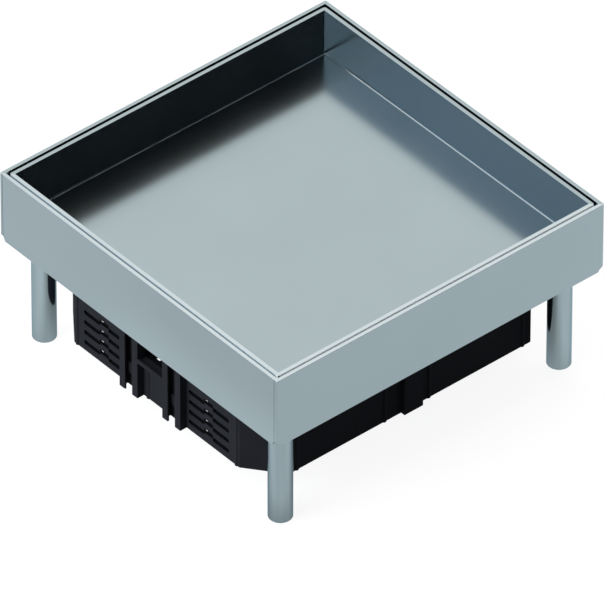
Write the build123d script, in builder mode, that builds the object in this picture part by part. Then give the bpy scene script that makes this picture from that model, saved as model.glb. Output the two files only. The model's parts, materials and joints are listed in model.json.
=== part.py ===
"""Floor box cover: a square sheet-metal frame on four round legs, a lift-out tray that rests inside it
for the floor finish, and a moulded device housing below. Millimetres, +Z up, origin on the floor at the
centre of the four legs."""

from build123d import *
import os
from math import sqrt

os.makedirs("parts", exist_ok=True)

# Frame
frame_side = 300.0
frame_height = 59.6
frame_bottom = 86.2
sheet = 3.0
frame_corner_radius = 1.0
rim_round = 0.2
lower_edge_round = 0.5
seam_width = 0.4
seam_depth = 0.3

# Relief notch at the foot of each corner: its slope on the front and back walls, its slant on the side walls
relief_height = 4.4
relief_slope = 2.4
slant_length = 5.0
slant_knee_length = 4.0
slant_knee_height = 1.9

# Legs and the plates above them
leg_diameter = 18.0
leg_inset = 21.4
leg_edge = 0.8
leg_to_flange = 1.0
plate_side = 54.0
plate_thickness = 4.0
plate_clip = 10.0

# Leg screws, M8 with a low head
leg_screw_diameter = 8.0
leg_screw_length = 20.0
leg_screw_head_diameter = 13.0
leg_screw_head_height = 4.0
leg_screw_socket = 5.0
leg_screw_socket_depth = 2.4
leg_screw_head_round = 0.5
thread_clearance = 0.05
hole_clearance = 0.4
thread_runout = 2.0

# Tray
shadow_gap = 1.8
tray_drop = 0.4
tray_corner_radius = 2.0
tray_bend = 2.0
tray_inner_bend = 1.2

# Ledge and seal under the tray
seal_width = 6.0
seal_height = 2.4
seal_inset = 3.0
seal_corner_radius = 4.0
support_sheet = 2.0
support_width = 14.0
support_end_gap = 0.4
support_to_plate = 0.4
support_over_screws = 1.8

# Housing: walls
housing_bottom = 21.0
housing_end_inset = 16.8
housing_side_inset = 32.4
housing_wall = 3.0
corner_cut_x = 27.8
corner_cut_y = 21.7
corner_soften = 1.2
collar_thickness = 3.0
collar_gap = 0.5
collar_to_plate = 2.0

# Housing: low round beads on the walls, given as distances along each wall from its middle
bead_radius = 2.0
bead_rise = 0.9
end_beads = (-86.6, -9.0, 9.0, 86.6)
side_beads = (-104.0, -23.6, 17.1, 104.0)

# Housing: slotted rails
rail_middle = 23.25
rail_width = 19.5
rail_depth = 6.0
rail_slot = 7.8
rail_lip = 1.4
rail_side = 2.0
rail_clearance = 1.0
rail_stop_bottom = 34.0
rail_stop_height = 9.5
rail_stop_depth = 2.0

# Housing: stepped slots
slot_rows = 4
slot_top_row = 55.6
slot_pitch = 9.03
slot_height = 3.8
slot_depth = 2.2
slot_end_radius = 1.4
slot_field_middle = 57.0
slot_length = 43.4
step_middle = 56.65
step_length = 9.6
step_rise = 2.1
knock_out_length = 2.9
knock_out_height = 1.9
knock_out_rise = 0.6

# Housing: cable shelf between the rails
shelf_bottom = 53.2
shelf_thickness = 2.0
shelf_lip_height = 3.4
shelf_lip_thickness = 1.5
shelf_reach = 14.0
shelf_wall = 2.0
shelf_hole_length = 5.0
shelf_hole_width = 5.2
shelf_hole_offset = 5.85
shelf_hole_setback = 6.0

# Housing: centre block on the plain walls
block_width = 17.1
block_depth = 3.8

# Housing screws, M3, and their washers
collar_screw_diameter = 3.0
collar_screw_length = 6.0
collar_screw_head_diameter = 5.5
collar_screw_head_height = 2.0
collar_screw_spacing = 140.0
collar_screw_edge = 2.7
collar_screw_recess = 2.5
collar_screw_recess_depth = 1.2
collar_screw_head_round = 0.4
washer_diameter = 6.0
washer_thickness = 0.5

# Bonding point on the underside of the tray, M5
stud_x = 60.0
stud_y = 80.0
stud_diameter = 5.0
stud_length = 10.0
stud_tip_chamfer = 0.4
stud_weld_diameter = 7.0
stud_weld_height = 0.8
nut_across_flats = 8.0
nut_height = 4.0
stud_washer_diameter = 10.0
stud_washer_thickness = 1.0

# Levels and half widths that several pieces share
frame_top = frame_bottom + frame_height
frame_half = frame_side / 2
frame_inner = frame_half - sheet
flange_top = frame_bottom + sheet
flange_width = leg_inset - leg_diameter / 2 - leg_to_flange
flange_inner = frame_half - flange_width
leg_centre = frame_half - leg_inset
plate_top = flange_top + plate_thickness
tray_half = frame_inner - shadow_gap
tray_top = frame_top - tray_drop
support_top = plate_top + leg_screw_head_height + support_over_screws + support_sheet
tray_bottom = support_top + seal_height
tray_floor = tray_bottom + sheet
tray_depth = tray_top - tray_floor
seal_half = tray_half - seal_inset
wall_x = frame_half - housing_side_inset
wall_y = frame_half - housing_end_inset
housing_height = flange_top - housing_bottom
collar_top = flange_top + collar_thickness
collar_half = frame_inner - support_sheet - collar_gap
rail_front = wall_y + rail_depth
bead_sink = bead_radius - bead_rise
collar_screw_line = flange_inner + collar_screw_edge

corners = {"front_left": (-1, -1), "front_right": (1, -1), "back_left": (-1, 1), "back_right": (1, 1)}
leg_centres = [(side_x * leg_centre, side_y * leg_centre) for side_x, side_y in corners.values()]
screw_offset = collar_screw_spacing / 2
collar_screw_points = [
    (across * side, along * screw_offset) if turned else (along * screw_offset, across * side)
    for turned in (False, True)
    for across, side in ((-1, collar_screw_line), (1, collar_screw_line))
    for along in (-1, 1)
]


def finish(piece, name):
    """Label a finished piece and write it under its own name."""
    piece.part.label = name
    export_step(piece.part, f"parts/{name}.step")


def cut_corner_outline(half_x, half_y, cut_x, cut_y):
    """Corner points of a rectangle with all four corners cut."""
    return [
        (-half_x + cut_x, -half_y),
        (half_x - cut_x, -half_y),
        (half_x, -half_y + cut_y),
        (half_x, half_y - cut_y),
        (half_x - cut_x, half_y),
        (-half_x + cut_x, half_y),
        (-half_x, half_y - cut_y),
        (-half_x, -half_y + cut_y),
    ]


# Outer frame: side walls of full length, front and back walls between their ends, the flange folded inwards at
# the foot of all four, and a relief notch and a dressed seam at each corner
with BuildPart() as outer_frame:
    with BuildSketch(Plane.XY.offset(frame_bottom)):
        RectangleRounded(frame_side, frame_side, frame_corner_radius)
    extrude(amount=frame_height)
    fillet(outer_frame.edges().group_by(Axis.Z)[0], lower_edge_round)
    with BuildSketch(Plane.XY.offset(flange_top)):
        Rectangle(2 * frame_inner, 2 * frame_inner)
    extrude(amount=frame_height - sheet, mode=Mode.SUBTRACT)
    with BuildSketch(Plane.XY.offset(frame_bottom)):
        Rectangle(2 * flange_inner, 2 * flange_inner)
        # The flange steps back round each rail of the housing.
        with Locations(*[(side * rail_middle, 0) for side in (-1, 1)]):
            Rectangle(rail_width + 2 * rail_clearance, 2 * (rail_front + rail_clearance))
    extrude(amount=sheet, mode=Mode.SUBTRACT)
    # Plane.XZ faces -Y and Plane.YZ faces +X, so the depth of each cut takes the sign of its side.
    for side_x, side_y in corners.values():
        with BuildSketch(Plane.XZ.offset(-side_y * frame_half)):
            Polygon(
                (side_x * (frame_inner - relief_slope), frame_bottom),
                (side_x * frame_inner, frame_bottom + relief_height),
                (side_x * frame_inner, frame_bottom),
                align=None,
            )
        extrude(amount=side_y * slant_length, mode=Mode.SUBTRACT)
        with BuildSketch(Plane.YZ.offset(side_x * frame_inner)):
            Polygon(
                (side_y * frame_half, frame_bottom),
                (side_y * frame_half, frame_bottom + relief_height),
                (side_y * (frame_half - slant_knee_length), frame_bottom + slant_knee_height),
                (side_y * (frame_half - slant_length), frame_bottom),
                align=None,
            )
        extrude(amount=side_x * sheet, mode=Mode.SUBTRACT)
    with BuildSketch(Plane.XY.offset(frame_bottom)):
        with Locations(*collar_screw_points):
            Circle(collar_screw_diameter / 2 + thread_clearance)
    extrude(amount=sheet, mode=Mode.SUBTRACT)
    fillet(outer_frame.faces().sort_by(Axis.Z)[-1].edges(), rim_round)
    with BuildSketch(Plane.XY.offset(frame_bottom)):
        with Locations(*[(side_x * frame_inner, side_y * frame_half) for side_x, side_y in corners.values()]):
            Rectangle(seam_width, 2 * seam_depth)
    extrude(amount=frame_height, mode=Mode.SUBTRACT)
finish(outer_frame, "outer_frame")

# Cover tray: floor and walls, open at the top
with BuildPart() as cover_tray:
    with BuildSketch(Plane.XY.offset(tray_bottom)):
        RectangleRounded(2 * tray_half, 2 * tray_half, tray_corner_radius)
    extrude(amount=tray_top - tray_bottom)
    fillet(cover_tray.edges().group_by(Axis.Z)[0], tray_bend)
    with BuildSketch(Plane.XY.offset(tray_floor)):
        Rectangle(2 * (tray_half - sheet), 2 * (tray_half - sheet))
    extrude(amount=tray_depth, mode=Mode.SUBTRACT)
    recess_floor = cover_tray.faces().filter_by(Axis.Z).filter_by_position(Axis.Z, tray_floor, tray_floor)
    fillet(recess_floor.edges(), tray_inner_bend)
    fillet(cover_tray.faces().sort_by(Axis.Z)[-1].edges(), rim_round)
finish(cover_tray, "cover_tray")

# Seal: one square ring between the ledge and the tray
with BuildPart() as tray_seal:
    with BuildSketch(Plane.XY.offset(support_top)):
        RectangleRounded(2 * seal_half, 2 * seal_half, seal_corner_radius)
        Rectangle(2 * (seal_half - seal_width), 2 * (seal_half - seal_width), mode=Mode.SUBTRACT)
    extrude(amount=seal_height)
finish(tray_seal, "tray_seal")


def support_length(turned):
    """The side ledges run between the front and back ones."""
    if turned:
        return 2 * (frame_inner - support_width - support_end_gap)
    return 2 * (frame_inner - support_end_gap)


# Ledge: four angles along the walls
supports = {"front": -90, "right": 0, "back": 90, "left": 180}
for side, turn in supports.items():
    length = support_length(turn % 180 == 0)
    section_plane = Plane.XZ.rotated((0, 0, turn)).offset(-length / 2)
    with BuildPart() as tray_support:
        with BuildSketch(section_plane):
            with BuildLine():
                Polyline(
                    (frame_inner, support_top),
                    (frame_inner - support_width, support_top),
                    (frame_inner - support_width, support_top - support_sheet),
                    (frame_inner - support_sheet, support_top - support_sheet),
                    (frame_inner - support_sheet, plate_top + support_to_plate),
                    (frame_inner, plate_top + support_to_plate),
                    close=True,
                )
            make_face()
        extrude(amount=length)
    finish(tray_support, f"tray_support_{side}")

# Legs and corner plates, one of each at every corner
for name, (side_x, side_y) in corners.items():
    centre = (side_x * leg_centre, side_y * leg_centre)
    with BuildPart() as leg:
        with BuildSketch(Plane.XY):
            with Locations(centre):
                Circle(leg_diameter / 2)
        extrude(amount=flange_top)
        fillet(leg.edges().group_by(Axis.Z)[0], leg_edge)
        with BuildSketch(Plane.XY.offset(flange_top)):
            with Locations(centre):
                Circle(leg_screw_diameter / 2 + thread_clearance)
        extrude(amount=-(leg_screw_length - plate_thickness + thread_runout), mode=Mode.SUBTRACT)
    finish(leg, f"leg_{name}")

    plate_points = [
        (frame_inner, frame_inner - plate_side),
        (frame_inner, frame_inner - plate_clip),
        (frame_inner - plate_clip, frame_inner),
        (frame_inner - plate_side, frame_inner),
    ]
    with BuildPart() as corner_plate:
        with BuildSketch(Plane.XY.offset(flange_top)):
            Polygon(*[(side_x * x, side_y * y) for x, y in plate_points], align=None)
            with Locations(centre):
                Circle(leg_screw_diameter / 2 + hole_clearance, mode=Mode.SUBTRACT)
        extrude(amount=plate_thickness)
    finish(corner_plate, f"corner_plate_{name}")

# Leg screws: four alike, from above through the plates into the legs
with BuildPart() as leg_screws:
    with BuildSketch(Plane.XY.offset(plate_top)):
        with Locations(*leg_centres):
            Circle(leg_screw_head_diameter / 2)
    extrude(amount=leg_screw_head_height)
    fillet(leg_screws.edges().group_by(Axis.Z)[-1], leg_screw_head_round)
    with BuildSketch(Plane.XY.offset(plate_top)):
        with Locations(*leg_centres):
            Circle(leg_screw_diameter / 2)
    extrude(amount=-leg_screw_length)
    with BuildSketch(Plane.XY.offset(plate_top + leg_screw_head_height)):
        with Locations(*leg_centres):
            RegularPolygon(leg_screw_socket / 2, 6, major_radius=False)
    extrude(amount=-leg_screw_socket_depth, mode=Mode.SUBTRACT)
finish(leg_screws, "leg_screws")


def end_plane(turn):
    """Upright plane on a slotted wall: x along the wall, z up, its normal pointing out of the housing."""
    return Plane.XZ.rotated((0, 0, turn)).offset(wall_y)


inner_x = wall_x - housing_wall
inner_y = wall_y - housing_wall
collar_cut = 2 * collar_half - (2 * frame_inner - plate_side - sqrt(2) * collar_to_plate)
slot_levels = [slot_top_row - row * slot_pitch for row in range(slot_rows)]

# Device housing: one moulding, open below
with BuildPart() as device_housing:
    # Walls with cut corners
    with BuildSketch(Plane.XY.offset(housing_bottom)):
        Polygon(*cut_corner_outline(wall_x, wall_y, corner_cut_x, corner_cut_y), align=None)
    extrude(amount=housing_height + collar_thickness)
    fillet(device_housing.edges().filter_by(Axis.Z), corner_soften)

    # Collar that lies on the frame's flange
    with BuildSketch(Plane.XY.offset(flange_top)):
        Polygon(*cut_corner_outline(collar_half, collar_half, collar_cut, collar_cut), align=None)
    extrude(amount=collar_thickness)

    # Rails, centre blocks and beads stand out from the walls
    with BuildSketch(Plane.XY.offset(housing_bottom)):
        with Locations(*[(side * rail_middle, 0) for side in (-1, 1)]):
            Rectangle(rail_width, 2 * rail_front)
        Rectangle(2 * (wall_x + block_depth), block_width)
        for side in (-1, 1):
            with Locations(*[(side * along, -side * (wall_y - bead_sink)) for along in end_beads]):
                Circle(bead_radius)
            with Locations(*[(side * (wall_x - bead_sink), side * along) for along in side_beads]):
                Circle(bead_radius)
    extrude(amount=housing_height)

    # Inside, with the centre blocks hollowed to an even wall
    with BuildSketch(Plane.XY.offset(housing_bottom)):
        Polygon(*cut_corner_outline(inner_x, inner_y, corner_cut_x, corner_cut_y), align=None)
        Rectangle(2 * (inner_x + block_depth), block_width - 2 * housing_wall)
    extrude(amount=housing_height + collar_thickness, mode=Mode.SUBTRACT)

    # Undercut channel and front slot of each rail
    with BuildSketch(Plane.XY.offset(housing_bottom)):
        for side in (-1, 1):
            channel_y = side * (wall_y + (rail_depth - rail_lip) / 2)
            with Locations((-rail_middle, channel_y), (rail_middle, channel_y)):
                Rectangle(rail_width - 2 * rail_side, rail_depth - rail_lip)
            slot_y = side * (wall_y + rail_depth / 2)
            with Locations((-rail_middle, slot_y), (rail_middle, slot_y)):
                Rectangle(rail_slot, rail_depth)
    extrude(amount=housing_height, mode=Mode.SUBTRACT)

    # Stop block across each channel
    with BuildSketch(Plane.XY.offset(rail_stop_bottom)):
        for side in (-1, 1):
            stop_y = side * (wall_y + rail_stop_depth / 2)
            with Locations((-rail_middle, stop_y), (rail_middle, stop_y)):
                Rectangle(rail_width - 2 * rail_side, rail_stop_depth)
    extrude(amount=rail_stop_height)

    # Cable shelf: a pocket behind the wall, its floor carried out to the rails' fronts, and a front lip
    pocket_width = 2 * rail_middle - rail_width
    pocket_back = wall_y - shelf_reach
    shelf_top = shelf_bottom + shelf_thickness
    shelf_hole_y = wall_y - shelf_hole_setback - shelf_hole_width / 2
    for side in (-1, 1):
        with BuildSketch(Plane.XY.offset(shelf_bottom)):
            with Locations((0, side * (pocket_back - shelf_wall + wall_y) / 2)):
                Rectangle(pocket_width + 2 * shelf_wall, shelf_reach + shelf_wall)
        extrude(amount=collar_top - shelf_bottom)
        with BuildSketch(Plane.XY.offset(shelf_bottom)):
            with Locations((0, side * (wall_y + rail_depth / 2))):
                Rectangle(pocket_width, rail_depth)
        extrude(amount=shelf_thickness)
        with BuildSketch(Plane.XY.offset(shelf_top)):
            with Locations((0, side * (pocket_back + wall_y + bead_rise) / 2)):
                Rectangle(pocket_width, shelf_reach + bead_rise)
        extrude(amount=flange_top - shelf_top, mode=Mode.SUBTRACT)
        with BuildSketch(Plane.XY.offset(shelf_bottom)):
            with Locations((0, side * (rail_front - shelf_lip_thickness / 2))):
                Rectangle(pocket_width, shelf_lip_thickness)
        extrude(amount=shelf_lip_height)
        with BuildSketch(Plane.XY.offset(shelf_bottom)):
            with Locations((side * shelf_hole_offset, side * shelf_hole_y)):
                Rectangle(shelf_hole_length, shelf_hole_width)
        extrude(amount=shelf_thickness, mode=Mode.SUBTRACT)

    # Stepped slots, and the knock-out through each one where it steps
    for turn in (0, 180):
        with BuildSketch(end_plane(turn)) as slots:
            for field in (-1, 1):
                slot_start = field * slot_field_middle - slot_length / 2
                slot_end = slot_start + slot_length
                step_start = field * step_middle - step_length / 2
                step_end = step_start + step_length
                for level in slot_levels:
                    with Locations(((slot_start + step_start) / 2, level)):
                        Rectangle(step_start - slot_start, slot_height)
                    with Locations(((step_end + slot_end) / 2, level)):
                        Rectangle(slot_end - step_end, slot_height)
                    with Locations(((step_start + step_end) / 2, level + step_rise)):
                        Rectangle(step_length, slot_height)
            # Only the outer ends are rounded: the corners at the steps stay sharp.
            left_outer, _, _, left_inner, right_inner, _, _, right_outer = slots.vertices().group_by(Axis.X)
            fillet(left_outer + left_inner + right_inner + right_outer, slot_end_radius)
        extrude(amount=-slot_depth, mode=Mode.SUBTRACT)
        with BuildSketch(end_plane(turn)):
            for field in (-1, 1):
                hole_middle = field * step_middle - step_length / 2
                with Locations(*[(hole_middle, level + knock_out_rise) for level in slot_levels]):
                    Rectangle(knock_out_length, knock_out_height)
        extrude(amount=-housing_wall, mode=Mode.SUBTRACT)

    # Screw holes in the collar
    with BuildSketch(Plane.XY.offset(flange_top)):
        with Locations(*collar_screw_points):
            Circle(collar_screw_diameter / 2 + hole_clearance)
    extrude(amount=collar_thickness, mode=Mode.SUBTRACT)
finish(device_housing, "device_housing")

# Housing washers and screws: eight alike on the collar
with BuildPart() as housing_washers:
    with BuildSketch(Plane.XY.offset(collar_top)):
        with Locations(*collar_screw_points):
            Circle(washer_diameter / 2)
            Circle(collar_screw_diameter / 2 + hole_clearance, mode=Mode.SUBTRACT)
    extrude(amount=washer_thickness)
finish(housing_washers, "housing_washers")

screw_seat = collar_top + washer_thickness
with BuildPart() as housing_screws:
    with BuildSketch(Plane.XY.offset(screw_seat)):
        with Locations(*collar_screw_points):
            Circle(collar_screw_head_diameter / 2)
    extrude(amount=collar_screw_head_height)
    fillet(housing_screws.edges().group_by(Axis.Z)[-1], collar_screw_head_round)
    with BuildSketch(Plane.XY.offset(screw_seat)):
        with Locations(*collar_screw_points):
            Circle(collar_screw_diameter / 2)
    extrude(amount=-collar_screw_length)
    with BuildSketch(Plane.XY.offset(screw_seat + collar_screw_head_height)):
        with Locations(*collar_screw_points):
            RegularPolygon(collar_screw_recess / 2, 6, major_radius=False)
    extrude(amount=-collar_screw_recess_depth, mode=Mode.SUBTRACT)
finish(housing_screws, "housing_screws")

# Bonding point: a stud welded under the tray, with a washer and a nut
with BuildPart() as earth_stud:
    with BuildSketch(Plane.XY.offset(tray_bottom)):
        with Locations((stud_x, stud_y)):
            Circle(stud_weld_diameter / 2)
    extrude(amount=-stud_weld_height)
    with BuildSketch(Plane.XY.offset(tray_bottom)):
        with Locations((stud_x, stud_y)):
            Circle(stud_diameter / 2)
    extrude(amount=-stud_length)
    chamfer(earth_stud.edges().group_by(Axis.Z)[0], stud_tip_chamfer)
finish(earth_stud, "earth_stud")

stud_seat = tray_bottom - stud_weld_height
with BuildPart() as earth_washer:
    with BuildSketch(Plane.XY.offset(stud_seat)):
        with Locations((stud_x, stud_y)):
            Circle(stud_washer_diameter / 2)
            Circle(stud_diameter / 2 + thread_clearance, mode=Mode.SUBTRACT)
    extrude(amount=-stud_washer_thickness)
finish(earth_washer, "earth_washer")

with BuildPart() as earth_nut:
    with BuildSketch(Plane.XY.offset(stud_seat - stud_washer_thickness)):
        with Locations((stud_x, stud_y)):
            RegularPolygon(nut_across_flats / 2, 6, major_radius=False)
            Circle(stud_diameter / 2 + thread_clearance, mode=Mode.SUBTRACT)
    extrude(amount=-nut_height)
finish(earth_nut, "earth_nut")
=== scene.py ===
"""Looks of the floor box cover: satin steel sheet, a black moulded housing and a rubber seal, in a plain
studio. Metres, +Z up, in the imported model's own frame: front is -Y and right is +X."""

import json
from math import cos, pi, radians, sin

import bpy
from mathutils import Matrix, Vector


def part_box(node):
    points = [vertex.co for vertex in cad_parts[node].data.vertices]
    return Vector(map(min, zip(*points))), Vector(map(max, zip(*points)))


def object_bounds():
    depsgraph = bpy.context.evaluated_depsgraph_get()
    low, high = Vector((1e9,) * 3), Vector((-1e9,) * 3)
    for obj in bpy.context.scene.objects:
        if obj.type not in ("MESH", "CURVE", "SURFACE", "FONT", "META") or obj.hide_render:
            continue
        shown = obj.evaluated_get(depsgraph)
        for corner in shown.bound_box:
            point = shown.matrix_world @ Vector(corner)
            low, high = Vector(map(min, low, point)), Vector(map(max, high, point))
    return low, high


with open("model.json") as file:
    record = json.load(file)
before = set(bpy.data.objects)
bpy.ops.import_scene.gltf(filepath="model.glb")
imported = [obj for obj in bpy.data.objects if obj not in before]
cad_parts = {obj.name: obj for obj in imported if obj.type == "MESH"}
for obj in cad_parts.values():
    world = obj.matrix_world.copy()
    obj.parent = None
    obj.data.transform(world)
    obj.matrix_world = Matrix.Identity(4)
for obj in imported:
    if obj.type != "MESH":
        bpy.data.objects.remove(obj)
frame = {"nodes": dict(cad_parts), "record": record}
cad_low, cad_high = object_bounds()
nodes = frame["nodes"]
side = cad_high.x - cad_low.x

# What noise mostly keeps between, and how finely it is drawn
noise_low = 0.3
noise_high = 0.7
plain_detail = 2.0
steel_detail = 3.0

# Colours and finishes of the steels: how rough they are, and how their grain runs along X, Y and Z
steel_colour = (0.32, 0.385, 0.405)
steel_specular = 0.5
steel_grain = 5000
grain_depth = 0.0000005
grain_strength = 0.01
grain_roughness = 0.006
patch_roughness = 0.01
frame_roughness = 0.18
frame_stretch = (0.03, 0.03, 1.0)
tray_roughness = 0.19
tray_stretch = (0.05, 1.0, 1.0)
leg_roughness = 0.14
leg_stretch = (0.15, 0.15, 1.0)
leg_patch = (150, 150, 3)
leg_mottle = 0.07
leg_edge_tint = (0.55, 0.64, 0.70, 1.0)
bracket_colour = (0.36, 0.39, 0.40)
bracket_roughness = 0.36
fastener_colour = (0.42, 0.44, 0.44)
fastener_roughness = 0.28
even_stretch = (1.0, 1.0, 1.0)
sheet_patch = (14, 14, 14)
sheet_mottle = 0.015

# Surface directions that the steel is given for the tones of the photograph. The shapes stay as packed.
rim_depth = 0.0005
rim_fall = 0.21
edge_depth = 0.0022
foot_depth = side / 30
outer_from = side / 3
flat_from = 0.98
facing_from = 0.02
bend_from = 0.05
tray_dressing = {"front": 0.93, "right": 2.05, "corner": 1.6, "bend": 0.45, "dish": 0.15, "turn": -0.12}

# The moulded pieces
housing_colour = (0.026, 0.028, 0.0335)
housing_roughness = 0.6
housing_specular = 0.03
seal_colour = (0.02, 0.02, 0.021)
seal_roughness = 0.75
seal_specular = 0.25
plastic_grain = 2200
plastic_patch = 30
plastic_mottle = 0.08
plastic_roughness_change = 0.05
plastic_depth = 0.00002
plastic_strength = 0.35

# Places of the housing's recesses, where shade is painted into the colour: across its slotted walls, behind
# their faces and above the ground
wall_behind_collar = 0.0113
slot_field = (0.034, 0.080)
slot_floor = 0.0027
face_margin = 0.00015
pocket_half = 0.0136
pocket_floor = 0.018
pocket_front = 0.0017
pocket_foot = 0.0545
# Share of the base colour left in the recesses, as painted shade
recess_shade_share = 0.3

# A tent of flat panels round the object: bright above, lighter on the left, dark on the right
tent_left = -1.7
tent_right = 1.7
tent_depth = 3.4
tent_top = 2.0
tent_foot = 0.05
wall_height = tent_top - tent_foot
wall_middle = (tent_top + tent_foot) / 2
top_from = -1.15
top_until = 0.45
side_front = -0.9
side_back = 0.95
dark_after = -1.2
slate_front = -2.6
corner_back = 2.5
front_right_box = ((0.7, tent_right), (-2.3, -1.35))
front_box_centre = (-0.3, -1.9, 0.95)
front_box_normal = (0.1, 1.0, -0.42)
front_box_width = 1.5
front_box_length = 0.9
top_light = ((1.0, 0.86, 0.83), 1.05)
left_light = ((1.0, 1.0, 0.93), 0.26)
front_right_light = ((0.85, 0.81, 1.0), 1.5)
front_light = ((0.94, 0.97, 1.0), 5.8)
black = (0.004, 0.006, 0.009)
slate_blue = (0.585, 0.705, 0.88)
white = (1.0, 1.0, 1.0)
ambient_strength = 0.55
backdrop_strength = 1.0

# The floor's paint and its own light, which differ for the camera, for reflections and for scattered light
floor_reach = 8.0
floor_grey = (0.20, 0.20, 0.21)
camera_glow = 0.91
metal_grey = (0.12, 0.12, 0.12)
metal_glow_colour = (0.945, 1.005, 1.03)
metal_glow = 0.905
metal_slope_x = -0.06
metal_slope_y = 0.20

# Painted shade in the floor's glow as the metal reflects it: a painted shadow under the object and round a
# leg, and a band across the front painted darker in front of the object and lighter nearer to it
under_reach = (0.13, 0.22)
under_shade_level = 0.38
strip_front = (-0.247, -0.216)
strip_left = (-0.17, -0.08)
strip_right = (0.08, 0.16)
strip_shade_and_sheen = (-0.09, 0.15)
leg_reach = (0.008, 0.042)
leg_shade_level = 0.76

# The photograph's camera: angles in degrees, distances in sides of the frame, focal length in pixels
view_azimuth = 49.5377
view_elevation = 39.588
view_roll = 0.1084
view_distance = 36.376
view_offset_right = 0.0013
view_offset_up = 0.1097
focal_pixels = 15481.07
image_pixels = 604
sensor_width = 36.0
far_clip = 100.0


# Shader arithmetic


def calculate(tree, operation, first, second=None):
    """One step of arithmetic on node outputs or numbers."""
    step = tree.nodes.new("ShaderNodeMath")
    step.operation = operation
    for socket, value in zip(step.inputs, (first, second)):
        if isinstance(value, (int, float)):
            socket.default_value = value
        elif value is not None:
            tree.links.new(value, socket)
    return step.outputs["Value"]


def product(tree, first, *others):
    """The product of node outputs and numbers."""
    for other in others:
        first = calculate(tree, "MULTIPLY", first, other)
    return first


def total(tree, first, *others):
    """The sum of node outputs and numbers."""
    for other in others:
        first = calculate(tree, "ADD", first, other)
    return first


def within(tree, value, low, high):
    """1 where the value lies between low and high, else 0."""
    above = calculate(tree, "GREATER_THAN", value, low)
    return product(tree, above, calculate(tree, "LESS_THAN", value, high))


def parts_of(tree, vector):
    """The X, Y and Z of a vector."""
    step = tree.nodes.new("ShaderNodeSeparateXYZ")
    tree.links.new(vector, step.inputs["Vector"])
    return step.outputs


def on_vectors(tree, operation, first, second=None):
    """One step of vector arithmetic on node outputs."""
    step = tree.nodes.new("ShaderNodeVectorMath")
    step.operation = operation
    tree.links.new(first, step.inputs[0])
    if second is not None:
        tree.links.new(second, step.inputs[1])
    return step.outputs["Vector"]


# Materials


def start_material(name, colour, metallic, specular):
    """A material with a principled shader, and the object coordinates that its patterns are drawn in."""
    material = bpy.data.materials.new(name)
    material.use_nodes = True
    tree = material.node_tree
    shader = tree.nodes["Principled BSDF"]
    shader.inputs["Base Color"].default_value = (*colour, 1.0)
    shader.inputs["Metallic"].default_value = metallic
    shader.inputs["Specular IOR Level"].default_value = specular
    place = tree.nodes.new("ShaderNodeTexCoord")
    return material, tree, shader, place.outputs["Object"]


def noise(tree, place, scale, stretch=even_stretch, detail=plain_detail):
    """Noise of so many grains a metre, squeezed along each axis by stretch."""
    mapping = tree.nodes.new("ShaderNodeMapping")
    mapping.inputs["Scale"].default_value = [scale * along for along in stretch]
    texture = tree.nodes.new("ShaderNodeTexNoise")
    texture.inputs["Scale"].default_value = 1.0
    texture.inputs["Detail"].default_value = detail
    tree.links.new(place, mapping.inputs["Vector"])
    tree.links.new(mapping.outputs["Vector"], texture.inputs["Vector"])
    return texture.outputs["Fac"]


def spread(tree, value, low, high):
    """A noise value, which mostly keeps between two levels, spread from low to high."""
    reach = tree.nodes.new("ShaderNodeMapRange")
    reach.inputs["From Min"].default_value = noise_low
    reach.inputs["From Max"].default_value = noise_high
    reach.inputs["To Min"].default_value = low
    reach.inputs["To Max"].default_value = high
    tree.links.new(value, reach.inputs["Value"])
    return reach.outputs["Result"]


def tint(tree, shader, value, colour, change):
    """Base colour that varies by the given share either way."""
    ramp = tree.nodes.new("ShaderNodeMix")
    ramp.data_type = "RGBA"
    ramp.inputs["A"].default_value = [c * (1 - change) for c in colour] + [1.0]
    ramp.inputs["B"].default_value = [c * (1 + change) for c in colour] + [1.0]
    tree.links.new(spread(tree, value, 0.0, 1.0), ramp.inputs["Factor"])
    tree.links.new(ramp.outputs["Result"], shader.inputs["Base Color"])


def grain(tree, shader, value, depth, strength, surface=None):
    """Surface relief of the given depth in metres, on the mesh's own surface or a changed one."""
    bump = tree.nodes.new("ShaderNodeBump")
    bump.inputs["Strength"].default_value = strength
    bump.inputs["Distance"].default_value = depth
    tree.links.new(value, bump.inputs["Height"])
    if surface is not None:
        tree.links.new(surface, bump.inputs["Normal"])
    tree.links.new(bump.outputs["Normal"], shader.inputs["Normal"])


def rim_lean(tree, at, upward, level):
    """Lean of the rim above level towards the outside, along X and along Y."""
    on_rim = calculate(tree, "GREATER_THAN", at["Z"], level)
    amount = product(tree, on_rim, upward, rim_fall)
    across_x = calculate(tree, "ABSOLUTE", at["X"])
    across_y = calculate(tree, "ABSOLUTE", at["Y"])
    along_x = calculate(tree, "GREATER_THAN", across_x, across_y)
    along_y = calculate(tree, "SUBTRACT", 1.0, along_x)
    lean_x = product(tree, calculate(tree, "SIGN", at["X"]), along_x, amount)
    lean_y = product(tree, calculate(tree, "SIGN", at["Y"]), along_y, amount)
    return lean_x, lean_y


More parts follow.
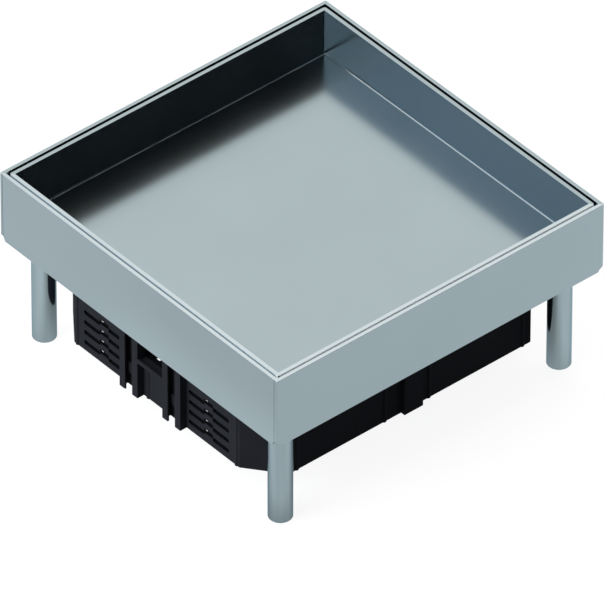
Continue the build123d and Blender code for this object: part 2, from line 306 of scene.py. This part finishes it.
def edge_rise(tree, at, faces, to_right, level, dressing):
    """Upward lean of the outer edge just below level, on the front face, the right face and their corner."""
    out_x = product(tree, faces["X"], at["X"])
    out_y = product(tree, faces["Y"], at["Y"])
    outer_half = calculate(tree, "GREATER_THAN", total(tree, out_x, out_y), outer_from)
    right_face = calculate(tree, "GREATER_THAN", faces["X"], facing_from)
    front_face = calculate(tree, "LESS_THAN", faces["Y"], -facing_from)
    near_rim = calculate(tree, "GREATER_THAN", at["Z"], level - edge_depth)
    eased = product(tree, outer_half, calculate(tree, "MAXIMUM", right_face, front_face), near_rim)
    to_front = calculate(tree, "LESS_THAN", faces["Y"], -flat_from)
    rise_right = product(tree, to_right, dressing["right"] - dressing["corner"])
    rise_front = product(tree, to_front, dressing["front"] - dressing["corner"])
    return product(tree, eased, total(tree, rise_right, rise_front, dressing["corner"]))


def dressed_surface(tree, place, level, dressing):
    """Surface direction of sheet whose rim above level falls slightly towards the outside. With a dressing,
    its outer edge below the rim is eased as well, its walls that face right are turned slightly in plan, the
    bend at their foot leans to the right and its floor is dished."""
    at = parts_of(tree, place)
    geometry = tree.nodes.new("ShaderNodeNewGeometry")
    faces = parts_of(tree, geometry.outputs["Normal"])
    upward = calculate(tree, "GREATER_THAN", faces["Z"], flat_from)
    change_x, change_y = rim_lean(tree, at, upward, level)
    change = tree.nodes.new("ShaderNodeCombineXYZ")
    if dressing is not None:
        to_right = calculate(tree, "GREATER_THAN", faces["X"], flat_from)
        foot = calculate(tree, "LESS_THAN", at["Z"], level - foot_depth)
        bend = product(tree, within(tree, faces["X"], bend_from, flat_from), foot, dressing["bend"])
        dish = product(tree, upward, foot, -dressing["dish"])
        turned = product(tree, to_right, dressing["turn"])
        change_x = total(tree, change_x, bend, product(tree, dish, at["X"]))
        change_y = total(tree, change_y, turned, product(tree, dish, at["Y"]))
        tree.links.new(edge_rise(tree, at, faces, to_right, level, dressing), change.inputs["Z"])
    tree.links.new(change_x, change.inputs["X"])
    tree.links.new(change_y, change.inputs["Y"])
    leaning = on_vectors(tree, "ADD", geometry.outputs["Normal"], change.outputs["Vector"])
    return on_vectors(tree, "NORMALIZE", leaning)


def satin_steel(
    name, colour, roughness, stretch, rim_level=None, dressing=None, patch=sheet_patch, mottle=sheet_mottle
):
    """Stainless steel with a fine directional grain and a slow change of tone in patches over the sheet."""
    material, tree, shader, place = start_material(name, colour, 1.0, steel_specular)
    fine = noise(tree, place, steel_grain, stretch, steel_detail)
    slow = noise(tree, place, 1, patch)
    tint(tree, shader, slow, colour, mottle)
    fine_rough = spread(tree, fine, roughness - grain_roughness, roughness + grain_roughness)
    slow_rough = spread(tree, slow, -patch_roughness, patch_roughness)
    tree.links.new(total(tree, fine_rough, slow_rough), shader.inputs["Roughness"])
    surface = None if rim_level is None else dressed_surface(tree, place, rim_level, dressing)
    grain(tree, shader, fine, grain_depth, grain_strength, surface)
    return material


def paint_shade_in_recesses(tree, shader, place, wall):
    """Paint shade into the slots and the cable shelf's pocket, which lie behind the two slotted walls, by
    taking the base colour down to a share of itself there. Wall is the distance of their faces from the
    middle."""
    at = parts_of(tree, place)
    across = calculate(tree, "ABSOLUTE", at["X"])
    out = calculate(tree, "ABSOLUTE", at["Y"])
    in_slot = within(tree, out, wall - slot_floor, wall - face_margin)
    slots = product(tree, within(tree, across, *slot_field), in_slot)
    pocket = product(
        tree,
        calculate(tree, "LESS_THAN", across, pocket_half),
        within(tree, out, wall - pocket_floor, wall - pocket_front),
        calculate(tree, "GREATER_THAN", at["Z"], pocket_foot),
    )
    recess = calculate(tree, "MAXIMUM", slots, pocket)
    # Painted shade: the base colour is scaled down inside the recesses
    level = calculate(tree, "SUBTRACT", 1.0, product(tree, recess, 1.0 - recess_shade_share))
    shaded_colour = tree.nodes.new("ShaderNodeVectorMath")
    shaded_colour.operation = "SCALE"
    tree.links.new(shader.inputs["Base Color"].links[0].from_socket, shaded_colour.inputs["Vector"])
    tree.links.new(level, shaded_colour.inputs["Scale"])
    tree.links.new(shaded_colour.outputs["Vector"], shader.inputs["Base Color"])


def moulded_plastic(name, colour, roughness, specular, wall=None):
    """Black moulding with the fine texture of the tool, and painted shade in the recesses behind the face of
    a wall.
    """
    material, tree, shader, place = start_material(name, colour, 0.0, specular)
    fine = noise(tree, place, plastic_grain)
    slow = noise(tree, place, plastic_patch)
    tint(tree, shader, slow, colour, plastic_mottle)
    if wall is not None:
        paint_shade_in_recesses(tree, shader, place, wall)
    low, high = roughness - plastic_roughness_change, roughness + plastic_roughness_change
    tree.links.new(spread(tree, fine, low, high), shader.inputs["Roughness"])
    grain(tree, shader, fine, plastic_depth, plastic_strength)
    return material


tray_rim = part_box("cover_tray")[1].z - rim_depth
frame_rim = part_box("outer_frame")[1].z - rim_depth
slotted_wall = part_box("device_housing")[1].y - wall_behind_collar
frame_steel = satin_steel("frame_steel", steel_colour, frame_roughness, frame_stretch, frame_rim)
tray_steel = satin_steel("tray_steel", steel_colour, tray_roughness, tray_stretch, tray_rim, tray_dressing)
leg_steel = satin_steel(
    "leg_steel", steel_colour, leg_roughness, leg_stretch, patch=leg_patch, mottle=leg_mottle
)
leg_steel.node_tree.nodes["Principled BSDF"].inputs["Specular Tint"].default_value = leg_edge_tint
bracket_steel = satin_steel("bracket_steel", bracket_colour, bracket_roughness, even_stretch)
fastener_steel = satin_steel("fastener_steel", fastener_colour, fastener_roughness, even_stretch)
housing_plastic = moulded_plastic(
    "housing_plastic", housing_colour, housing_roughness, housing_specular, slotted_wall
)
seal_rubber = moulded_plastic("seal_rubber", seal_colour, seal_roughness, seal_specular)

finishes = {
    "frame_steel": frame_steel,
    "tray_steel": tray_steel,
    "leg_steel": leg_steel,
    "bracket_steel": bracket_steel,
    "fastener_steel": fastener_steel,
    "housing_plastic": housing_plastic,
    "seal_rubber": seal_rubber,
}
for subpart in frame["record"]["subparts"]:
    mesh = nodes[subpart["node"]].data
    mesh.materials.clear()
    mesh.materials.append(finishes[subpart["material_slot"]])


# Studio


def seen_rays(tree):
    """1 for the rays that show a background: camera, glossy and transmission."""
    path = tree.nodes.new("ShaderNodeLightPath")
    most = path.outputs["Is Camera Ray"]
    for kind in ("Is Glossy Ray", "Is Transmission Ray"):
        most = calculate(tree, "MAXIMUM", most, path.outputs[kind])
    return most


def panel(name, centre, normal, width, length, colour):
    """A rectangle of the studio that faces along normal and glows evenly; black is a dark card."""
    mesh = bpy.data.meshes.new(name)
    right, top = width / 2, length / 2
    corners = [(-right, -top, 0), (right, -top, 0), (right, top, 0), (-right, top, 0)]
    mesh.from_pydata(corners, [], [(0, 1, 2, 3)])
    card = bpy.data.objects.new(name, mesh)
    card.location = centre
    card.rotation_mode = "QUATERNION"
    card.rotation_quaternion = Vector(normal).to_track_quat("Z", "Y")
    bpy.context.scene.collection.objects.link(card)
    paper = bpy.data.materials.new(name)
    paper.use_nodes = True
    tree = paper.node_tree
    tree.nodes.clear()
    glow = tree.nodes.new("ShaderNodeEmission")
    glow.inputs["Color"].default_value = (*colour, 1.0)
    out = tree.nodes.new("ShaderNodeOutputMaterial")
    tree.links.new(glow.outputs["Emission"], out.inputs["Surface"])
    mesh.materials.append(paper)
    card.visible_camera = False


def softbox(name, centre, normal, width, length, colour, radiance):
    """A flat lamp that faces along normal, with the brightness of its face given."""
    lamp = bpy.data.lights.new(name, "AREA")
    lamp.shape = "RECTANGLE"
    lamp.size = width
    lamp.size_y = length
    lamp.color = colour
    lamp.energy = radiance * width * length * pi
    holder = bpy.data.objects.new(name, lamp)
    holder.location = centre
    holder.rotation_mode = "QUATERNION"
    holder.rotation_quaternion = (-Vector(normal)).to_track_quat("Z", "Y")
    bpy.context.scene.collection.objects.link(holder)


def ceiling(maker, name, x_range, y_range, *light):
    """A panel or softbox of the tent's ceiling between the given sides."""
    centre = (sum(x_range) / 2, sum(y_range) / 2, tent_top)
    maker(name, centre, (0, 0, -1), x_range[1] - x_range[0], y_range[1] - y_range[0], *light)


def side_wall(maker, name, x, y_middle, *light):
    """A panel or softbox of the tent's left or right wall, which faces the object."""
    maker(name, (x, y_middle, wall_middle), (-1 if x > 0 else 1, 0, 0), tent_depth, wall_height, *light)


world = bpy.data.worlds.new("studio")
bpy.context.scene.world = world
world.use_nodes = True
sky = world.node_tree
ambient = sky.nodes["Background"]
ambient.inputs["Color"].default_value = (*white, 1.0)
ambient.inputs["Strength"].default_value = ambient_strength
backdrop = sky.nodes.new("ShaderNodeBackground")
backdrop.inputs["Color"].default_value = (*white, 1.0)
backdrop.inputs["Strength"].default_value = backdrop_strength
choose = sky.nodes.new("ShaderNodeMixShader")
sky.links.new(seen_rays(sky), choose.inputs["Fac"])
sky.links.new(ambient.outputs["Background"], choose.inputs[1])
sky.links.new(backdrop.outputs["Background"], choose.inputs[2])
sky.links.new(choose.outputs["Shader"], sky.nodes["World Output"].inputs["Surface"])

ceiling(softbox, "softbox_top", (top_from, top_until), (-tent_depth / 2, tent_depth / 2), *top_light)
ceiling(softbox, "softbox_top_left", (tent_left, top_from), (side_front, side_back), *top_light)
ceiling(softbox, "softbox_corner", (tent_left, top_from), (side_back, corner_back), *left_light)
ceiling(softbox, "softbox_front_right", *front_right_box, *front_right_light)
ceiling(panel, "card_top_left", (tent_left, top_from), (slate_front, side_front), slate_blue)
side_wall(softbox, "softbox_left", tent_left, tent_depth / 2, *left_light)
softbox("softbox_front", front_box_centre, front_box_normal, front_box_width, front_box_length, *front_light)
side_wall(panel, "card_front_left", tent_left, -tent_depth / 2, slate_blue)
side_wall(panel, "card_right", tent_right, dark_after + tent_depth / 2, black)
ceiling(panel, "card_top_right", (top_until, tent_right), (dark_after, dark_after + tent_depth), black)
side_wall(panel, "card_front_right", tent_right, dark_after - tent_depth / 2, black)


# Floor: pale, with the object's shadow, and white where nothing shades it

floor_mesh = bpy.data.meshes.new("floor")
floor_corners = [
    (-floor_reach, -floor_reach, cad_low.z),
    (floor_reach, -floor_reach, cad_low.z),
    (floor_reach, floor_reach, cad_low.z),
    (-floor_reach, floor_reach, cad_low.z),
]
floor_mesh.from_pydata(floor_corners, [], [(0, 1, 2, 3)])
floor = bpy.data.objects.new("floor", floor_mesh)
bpy.context.scene.collection.objects.link(floor)
floor_paint = bpy.data.materials.new("floor_paint")
floor_paint.use_nodes = True
paint = floor_paint.node_tree
paint.nodes.clear()


def between(value, reach, low=0.0, high=1.0):
    """Low up to the start of the reach, high from its end, smooth between them."""
    step = paint.nodes.new("ShaderNodeMapRange")
    step.interpolation_type = "SMOOTHSTEP"
    step.inputs["From Min"].default_value = reach[0]
    step.inputs["From Max"].default_value = reach[1]
    step.inputs["To Min"].default_value = low
    step.inputs["To Max"].default_value = high
    paint.links.new(value, step.inputs["Value"])
    return step.outputs["Result"]


def distance_from(point):
    """Distance on the floor from a point of it."""
    step = paint.nodes.new("ShaderNodeVectorMath")
    step.operation = "DISTANCE"
    paint.links.new(floor_place, step.inputs[0])
    step.inputs[1].default_value = point
    return step.outputs["Value"]


def lit_and_glowing(colour, own_light, strength, slope_x=0.0, slope_y=0.0, shade=1.0):
    """Pale paint with some light of its own, which grows by so much a metre along X and Y and is scaled by
    painted shade and sheen."""
    pale = paint.nodes.new("ShaderNodeBsdfDiffuse")
    pale.inputs["Color"].default_value = (*colour, 1.0)
    glow = paint.nodes.new("ShaderNodeEmission")
    glow.inputs["Color"].default_value = (*own_light, 1.0)
    across = product(paint, floor_at["X"], slope_x)
    along = product(paint, floor_at["Y"], slope_y)
    amount = calculate(paint, "MAXIMUM", total(paint, across, along, strength), strength / 2)
    level = calculate(paint, "MINIMUM", amount, 1.0)
    paint.links.new(product(paint, level, shade), glow.inputs["Strength"])
    both = paint.nodes.new("ShaderNodeAddShader")
    paint.links.new(pale.outputs["BSDF"], both.inputs[0])
    paint.links.new(glow.outputs["Emission"], both.inputs[1])
    return both.outputs["Shader"]


def either(fac, first, second):
    """The first shader where fac is 0, the second where it is 1."""
    mix = paint.nodes.new("ShaderNodeMixShader")
    paint.links.new(fac, mix.inputs["Fac"])
    paint.links.new(first, mix.inputs[1])
    paint.links.new(second, mix.inputs[2])
    return mix.outputs["Shader"]


floor_place = paint.nodes.new("ShaderNodeTexCoord").outputs["Object"]
floor_at = parts_of(paint, floor_place)
# Painted shadow in the glow that the metal reflects, under the object and round the front right leg
shadow_under_object = between(distance_from((0.0, 0.0, 0.0)), under_reach, under_shade_level)
leg_low, leg_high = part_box("leg_front_right")
leg_foot = ((leg_low.x + leg_high.x) / 2, (leg_low.y + leg_high.y) / 2, cad_low.z)
shadow_round_leg = between(distance_from(leg_foot), leg_reach, leg_shade_level)
# Painted shade and sheen in a band across the front: darker in front of the object, lighter nearer to it
right_of_strip = calculate(paint, "SUBTRACT", 1.0, between(floor_at["X"], strip_right))
in_strip = product(paint, between(floor_at["X"], strip_left), right_of_strip)
strip = total(paint, product(paint, in_strip, between(floor_at["Y"], strip_front, *strip_shade_and_sheen)), 1.0)
# Painted shade and sheen of the floor's glow, for the metal's reflections
shade = product(paint, shadow_under_object, shadow_round_leg, strip)
for_light = lit_and_glowing(floor_grey, white, 0.0)
for_metal = lit_and_glowing(metal_grey, metal_glow_colour, metal_glow, metal_slope_x, metal_slope_y, shade)
for_camera = lit_and_glowing(floor_grey, white, camera_glow)
path = paint.nodes.new("ShaderNodeLightPath")
out = paint.nodes.new("ShaderNodeOutputMaterial")
seen_by_metal = either(seen_rays(paint), for_light, for_metal)
paint.links.new(either(path.outputs["Is Camera Ray"], seen_by_metal, for_camera), out.inputs["Surface"])
floor.data.materials.append(floor_paint)


# Camera

azimuth = radians(view_azimuth)
elevation = radians(view_elevation)
roll = radians(view_roll)
back = Vector((sin(azimuth) * cos(elevation), -cos(azimuth) * cos(elevation), sin(elevation)))
right = Vector((cos(azimuth), sin(azimuth), 0.0))
up = back.cross(right)
rolled_right = right * cos(roll) + up * sin(roll)
rolled_up = up * cos(roll) - right * sin(roll)

camera_data = bpy.data.cameras.new("camera")
camera_data.sensor_width = sensor_width
camera_data.lens = focal_pixels * sensor_width / image_pixels
camera_data.clip_end = far_clip
camera = bpy.data.objects.new("camera", camera_data)
camera_place = (back * view_distance + right * view_offset_right + up * view_offset_up) * side
camera_turn = Matrix((rolled_right, rolled_up, back)).transposed().to_4x4()
camera.matrix_world = Matrix.Translation(camera_place) @ camera_turn
bpy.context.scene.collection.objects.link(camera)
bpy.context.scene.camera = camera
bpy.context.scene.view_settings.view_transform = "Standard"
